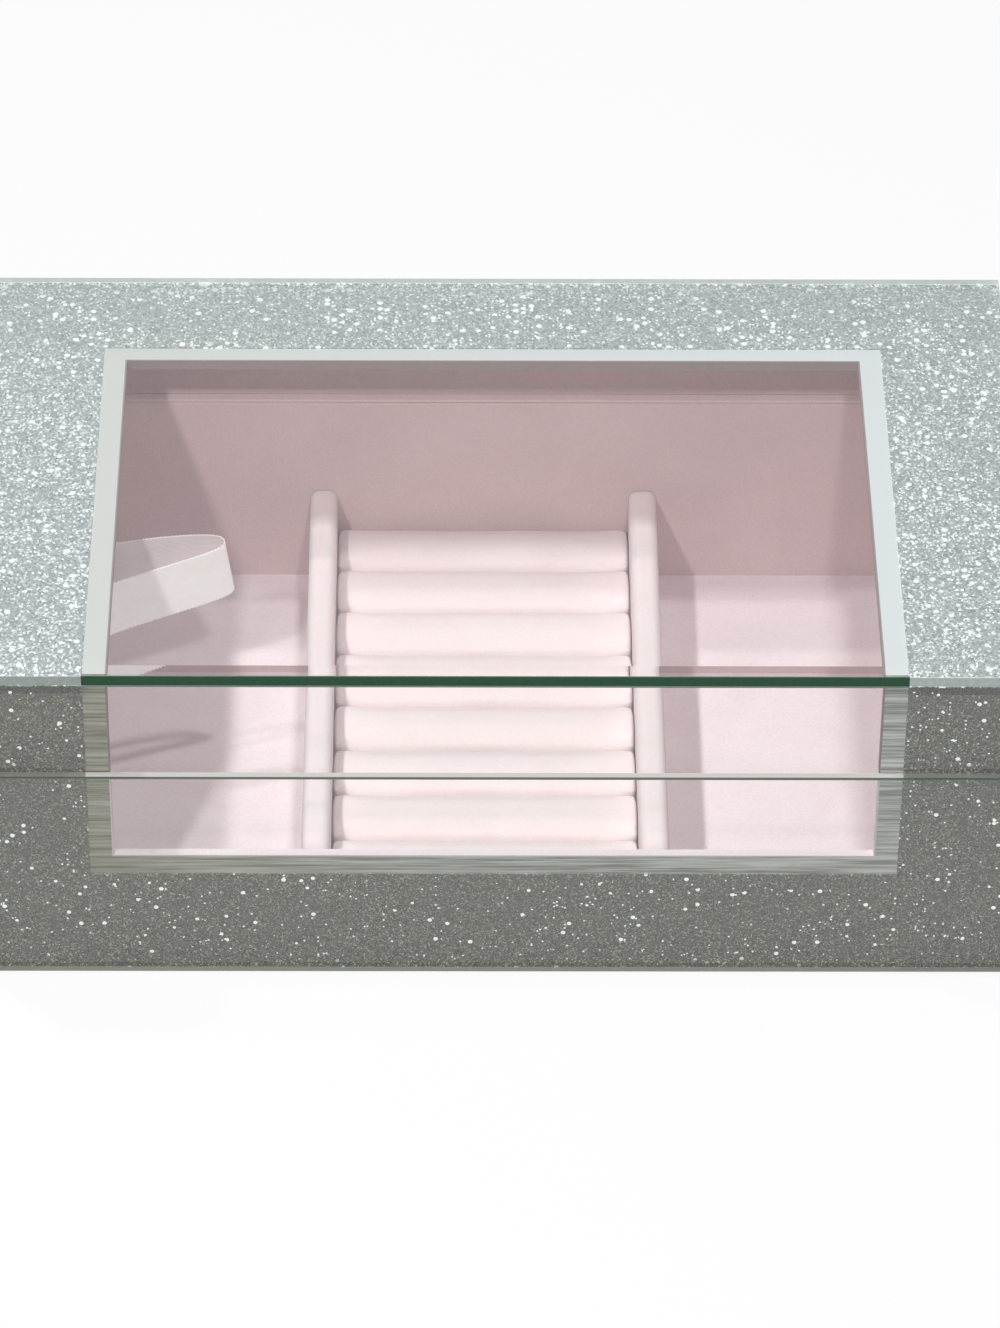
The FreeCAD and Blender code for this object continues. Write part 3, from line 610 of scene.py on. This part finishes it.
def slack_roll():
    """A roll centred on the origin's YZ plane, smaller than its solid by the swelling to come."""
    bm = bmesh.new()
    bmesh.ops.create_cube(bm, size=1)
    bmesh.ops.scale(bm, vec=roll_size + Vector((END_GROWTH, -2 * SWELL, -SWELL)), verts=bm.verts)
    bmesh.ops.translate(bm, vec=(0, 0, (roll_size.z - SWELL) / 2), verts=bm.verts)
    crest = [e for e in bm.edges if all(v.co.z > NEAR for v in e.verts)
             and abs(e.verts[0].co.x - e.verts[1].co.x) > NEAR]
    radius = roll_size.y / 2 - SWELL - CREST_LAND
    round_off(bm, crest, radius, 10)
    top = roll_size.z - SWELL
    upper = [v for v in bm.verts if v.co.z > top - CREST_REACH * radius]
    bmesh.ops.scale(bm, vec=(1, 1, CREST_FLAT), verts=upper, space=Matrix.Translation((0, 0, -top)))
    bm.normal_update()
    ends = [e for e in bm.edges if sum(abs(face.normal.x) > FACING for face in e.link_faces) == 1
            and not all(v.co.z < NEAR for v in e.verts)]
    round_off(bm, ends, END_ROUND, 3)
    return bm


bm = slack_roll()
print(f"slack roll: {len(bm.faces)} faces, to fill {[round(v / MM, 1) for v in roll_size]} mm")

# %% Blow the sleeve up as cloth
NET, GLUE_HEIGHT, CLOTH_STEPS = 1.5 * MM, 1.0 * MM, 20


def as_mesh(holder):
    """The mesh of an object with its modifiers applied."""
    graph = bpy.context.evaluated_depsgraph_get()
    return bpy.data.meshes.new_from_object(holder.evaluated_get(graph))


sleeve_mesh = bpy.data.meshes.new("sleeve")
bm.to_mesh(sleeve_mesh)
bm.free()
sleeve = bpy.data.objects.new("sleeve", sleeve_mesh)
scene.collection.objects.link(sleeve)
net = sleeve.modifiers.new("net", "REMESH")
net.mode, net.voxel_size, net.use_smooth_shade = "VOXEL", NET, True
even_mesh = as_mesh(sleeve)
sleeve.modifiers.clear()
sleeve.data = even_mesh
slack = [v.co.copy() for v in even_mesh.vertices]

glued = sleeve.vertex_groups.new(name="glued")
glued.add([i for i, co in enumerate(slack) if co.z < GLUE_HEIGHT], 1.0, "REPLACE")
cloth = sleeve.modifiers.new("cloth", "CLOTH").settings
cloth.vertex_group_mass = "glued"
cloth.mass = 0.002
cloth.tension_stiffness = cloth.compression_stiffness = 3.0
cloth.use_pressure = True
cloth.uniform_pressure_force = 20.0
cloth.effector_weights.gravity = 0.0
for step in range(1, CLOTH_STEPS + 1):
    scene.frame_set(step)
blown = [v.co.copy() for v in as_mesh(sleeve).vertices]
sleeve.modifiers.clear()
scene.frame_set(1)

moves = []
for vertex, start, end in zip(sleeve.data.vertices, slack, blown):
    move = end - start
    moves.append(move.length)
    vertex.co = start + move * min(1.0, SWELL / max(move.length, 1e-9))
print(f"sleeve: {len(slack)} points, moved {sum(moves) / len(moves) / MM:.2f} mm on average, "
      f"{max(moves) / MM:.2f} at most before the cap")

# %% Eight rolls
DENT, DENT_SIDEWAYS = 0.3 * MM, 0.25
DENTS_ALONG, DENTS_ACROSS, NEXT_DENTS = 55, 90, 7.3


def make_roll(number, node):
    """The sleeve set on its place, with dents that differ from roll to roll."""
    low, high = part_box(node)
    bm = bmesh.new()
    bm.from_mesh(sleeve.data)
    for vertex in bm.verts:
        wave = noise.noise(Vector((vertex.co.x * DENTS_ALONG, vertex.co.y * DENTS_ACROSS, number * NEXT_DENTS)))
        lift = max(0.0, vertex.co.z / roll_size.z)
        vertex.co.z += DENT * lift * wave
        vertex.co.y -= DENT_SIDEWAYS * DENT * lift * wave
    bmesh.ops.translate(bm, vec=((low.x + high.x) / 2, (low.y + high.y) / 2, low.z), verts=bm.verts)
    for face in bm.faces:
        face.smooth = True
    roll = make_piece(f"roll_pad_{number}", bm, [roll_velvet], [node], "base")
    soften = roll.modifiers.new("soften", "SUBSURF")
    soften.levels = soften.render_levels = 1
    return roll


rolls = [make_roll(number, node) for number, node in enumerate(ROLLS, start=1)]
bpy.data.objects.remove(sleeve)
print("rolls:", len(rolls), "of", len(rolls[0].data.polygons), "faces")

# %% [markdown]
# ## The stay ribbon
#
# A satin ribbon with looped picot edges joins the left wall of the base to the left wall of the lid and stops
# the lid. Closed, it stands on its edge and folds once into the tray. A ribbon is a strip along a line, so the
# line comes first: a NURBS curve through the places where the ribbon runs. `extrude_edge_only` pulls that line
# up into the strip, and the outermost row of points is drawn in and out to make the picots.

# %% The ribbon's line
RIBBON_WIDTH, PICOT, PICOT_PITCH = 15.5 * MM, 0.5 * MM, 0.95 * MM
RIBBON_ROUTE = [(-114.5, -21.0, 54.85), (-105.4, -15.25, 56.5), (-95.5, -10.5, 58.14), (-81.4, -5.25, 59.79),
                (-68.3, -0.75, 61.43), (-65.2, 0.9, 63.08), (-67.8, 2.1, 64.72), (-82.55, -1.4, 66.37),
                (-95.8, -6.9, 68.01), (-106.4, -3.0, 69.66), (-114.5, 22.0, 71.3), (-117.5, 29.0, 72.95)]
LEAN = Vector((-0.14, 0.0, 1.0))

route = bpy.data.curves.new("ribbon_route", "CURVE")
route.dimensions = "3D"
route.resolution_u = 24
spline = route.splines.new("NURBS")
spline.points.add(len(RIBBON_ROUTE) - 1)
for point, stop in zip(spline.points, RIBBON_ROUTE):
    point.co = (*(value * MM for value in stop), 1)
spline.order_u = 3
spline.use_endpoint_u = True
route_holder = bpy.data.objects.new("ribbon_route", route)
scene.collection.objects.link(route_holder)
fine_line = [v.co.copy() for v in bpy.data.meshes.new_from_object(route_holder).vertices]
bpy.data.objects.remove(route_holder)


def even_steps(line, step):
    """Points at even distances along a line of points, and the line's length."""
    reach = [0.0]
    for a, b in zip(line, line[1:]):
        reach.append(reach[-1] + (b - a).length)
    count = round(reach[-1] / step)
    marks, i = [], 0
    for k in range(count + 1):
        want = reach[-1] * k / count
        while i < len(line) - 2 and reach[i + 1] < want:
            i += 1
        share = (want - reach[i]) / max(reach[i + 1] - reach[i], 1e-12)
        marks.append(line[i].lerp(line[i + 1], min(1.0, share)))
    return marks, reach[-1]


ribbon_line, ribbon_length = even_steps(fine_line, PICOT_PITCH / 2)
print(f"ribbon: {ribbon_length / MM:.1f} mm long, {len(ribbon_line)} points")

# %% The strip and its picots
PICOT_HOLLOW = 0.75

bm = bmesh.new()
row = [bm.verts.new(point - LEAN * RIBBON_WIDTH / 2) for point in ribbon_line]
step_of = {vertex: k for k, vertex in enumerate(row)}
height_of = dict.fromkeys(row, 0.0)
edges = [bm.edges.new(pair) for pair in zip(row, row[1:])]
at_height = 0.0
for height in (PICOT, RIBBON_WIDTH * 0.3, RIBBON_WIDTH * 0.7, RIBBON_WIDTH - PICOT, RIBBON_WIDTH):
    under = {tuple(vertex.co): step_of[vertex] for vertex in row}
    grown = bmesh.ops.extrude_edge_only(bm, edges=edges)["geom"]
    row = [item for item in grown if isinstance(item, bmesh.types.BMVert)]
    edges = [item for item in grown if isinstance(item, bmesh.types.BMEdge)]
    step_of.update({vertex: under[tuple(vertex.co)] for vertex in row})
    height_of.update(dict.fromkeys(row, height))
    bmesh.ops.translate(bm, vec=LEAN * (height - at_height), verts=row)
    at_height = height

uv = bm.loops.layers.uv.new("along_ribbon")
for face in bm.faces:
    face.smooth = True
    for loop in face.loops:
        loop[uv].uv = (ribbon_length * step_of[loop.vert] / (len(ribbon_line) - 1), height_of[loop.vert])
for height, inward in ((0.0, LEAN), (RIBBON_WIDTH, -LEAN)):
    hollows = [v for v in bm.verts if height_of[v] == height and step_of[v] % 2]
    bmesh.ops.translate(bm, vec=inward * PICOT * PICOT_HOLLOW, verts=hollows)
print("strip:", len(bm.faces), "faces")

# %% [markdown]
# Satin shines in bands across its smooth threads. The threads run along the ribbon, so fine ridges tilt the normal
# up and down and draw each lamp's highlight out into a band, and the roughness is low. Only the face shines: the
# back of the weave is duller and pinker, so the ribbon wears two finishes, and the modifier that gives the strip
# its thickness puts the second one on the other side. The weave is so thin that light from behind comes through,
# for which a faint emission stands in. The coordinates come from the strip's own UV map, in metres, so that the
# ridges follow the fold.

# %% Satin
CLOTH_THICKNESS = 0.25 * MM


def make_satin(name, deep, pale, roughness, through):
    """A satin finish. The level through stands for the light that comes through from behind."""
    material, tree, _ = new_finish(name)
    along = add(tree, "UVMap", uv_map="along_ribbon").outputs[0]
    threads = add(tree, "TexWave", {"Vector": along, "Scale": 800.0, "Distortion": 1.5, "Detail": 2.0},
                  bands_direction="Y").outputs[1]
    slub = add(tree, "TexNoise", {"Vector": along, "Scale": 220.0, "Detail": 1.0}).outputs[0]
    weave = add(tree, "Bump", {"Height": threads, "Strength": 0.7, "Distance": 0.1 * MM}).outputs[0]
    to_surface(tree, add(tree, "BsdfPrincipled", {
        "Base Color": mixed(tree, slub, deep, pale), "Specular IOR Level": 0.8,
        "Roughness": math_of(tree, "MULTIPLY_ADD", slub, 0.15, roughness),
        "Sheen Weight": 0.3, "Sheen Roughness": 0.4, "Sheen Tint": (1.0, 0.97, 0.97, 1), "Normal": weave,
        "Emission Color": (1.0, 0.94, 0.93, 1), "Emission Strength": through}))
    return material


satin = make_satin("satin", (0.95, 0.87, 0.87, 1), (0.99, 0.95, 0.94, 1), 0.20, 0.18)
satin_back = make_satin("satin_back", (0.78, 0.64, 0.66, 1), (0.88, 0.76, 0.77, 1), 0.32, 0.04)

ribbon = make_piece("satin_ribbon", bm, [satin_back, satin], ["stay_ribbon"])
body_of_cloth = ribbon.modifiers.new("thread", "SOLIDIFY")
body_of_cloth.thickness, body_of_cloth.offset, body_of_cloth.material_offset = CLOTH_THICKNESS, 0.0, 1
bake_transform(ribbon)
print("ribbon hung, area", round(sum(p.area for p in ribbon.data.polygons) / MM ** 2), "square mm")

# %% [markdown]
# ## Hinges, felt and card
#
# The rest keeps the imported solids' shape and only needs a finish. The hinges are plated steel with faint rolling
# marks. The underside is a dark felt sheet, whose short, matted fibres are coarse noise with a strong bump. The
# card under the rolls is plain.

# %% Small finishes
hinge_steel, tree, place = new_finish("hinge_steel")
streak = placed(tree, streaks, {"Place": place, "Stretch": (120.0, 2500.0, 2500.0)})["Streak"]
to_surface(tree, add(tree, "BsdfPrincipled", {
    "Base Color": mixed(tree, streak, (0.52, 0.52, 0.51, 1), (0.74, 0.74, 0.73, 1)), "Metallic": 1.0,
    "Roughness": math_of(tree, "MULTIPLY_ADD", streak, 0.25, 0.18)}))

felt, tree, place = new_finish("felt")
fibres = add(tree, "TexNoise", {"Vector": place, "Scale": 700.0, "Detail": 6.0, "Distortion": 1.2}).outputs[0]
matted = add(tree, "Bump", {"Height": fibres, "Strength": 0.6, "Distance": 0.5 * MM}).outputs[0]
to_surface(tree, add(tree, "BsdfPrincipled", {
    "Base Color": mixed(tree, fibres, (0.025, 0.025, 0.028, 1), (0.10, 0.10, 0.105, 1)), "Roughness": 1.0,
    "Specular IOR Level": 0.1, "Normal": matted}))

card, tree, place = new_finish("card")
pulp = add(tree, "TexNoise", {"Vector": place, "Scale": 500.0, "Detail": 4.0}).outputs[0]
to_surface(tree, add(tree, "BsdfPrincipled", {
    "Base Color": mixed(tree, pulp, (0.56, 0.50, 0.44, 1), (0.70, 0.65, 0.58, 1)), "Roughness": 0.9}))
print("small finishes:", hinge_steel.name, felt.name, card.name)

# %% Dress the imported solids
def finish_of(node):
    """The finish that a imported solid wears, from the words of its name."""
    words = (("top_glitter", top_film), ("glitter_film", shaded_upright_film), ("glitter_paper", glitter_paper),
             ("hinge", hinge_steel), ("felt", felt), ("card", card), ("lid_window", shaded_tape_velvet), ("binding", velvet),
             ("lining", shaded_wall_velvet), ("floor_pad", velvet), ("ring_roll", roll_velvet), ("divider", roll_velvet),
             ("ribbon", satin), ("glass", clear_glass))
    return next((finish for word, finish in words if word in node), silver_board)


worn = {}
for node, solid in solids.items():
    finish = finish_of(node)
    solid.data.materials.clear()
    solid.data.materials.append(finish)
    worn.setdefault(finish.name, []).append(node)
print("worn:", {finish: len(nodes) for finish, nodes in worn.items()})
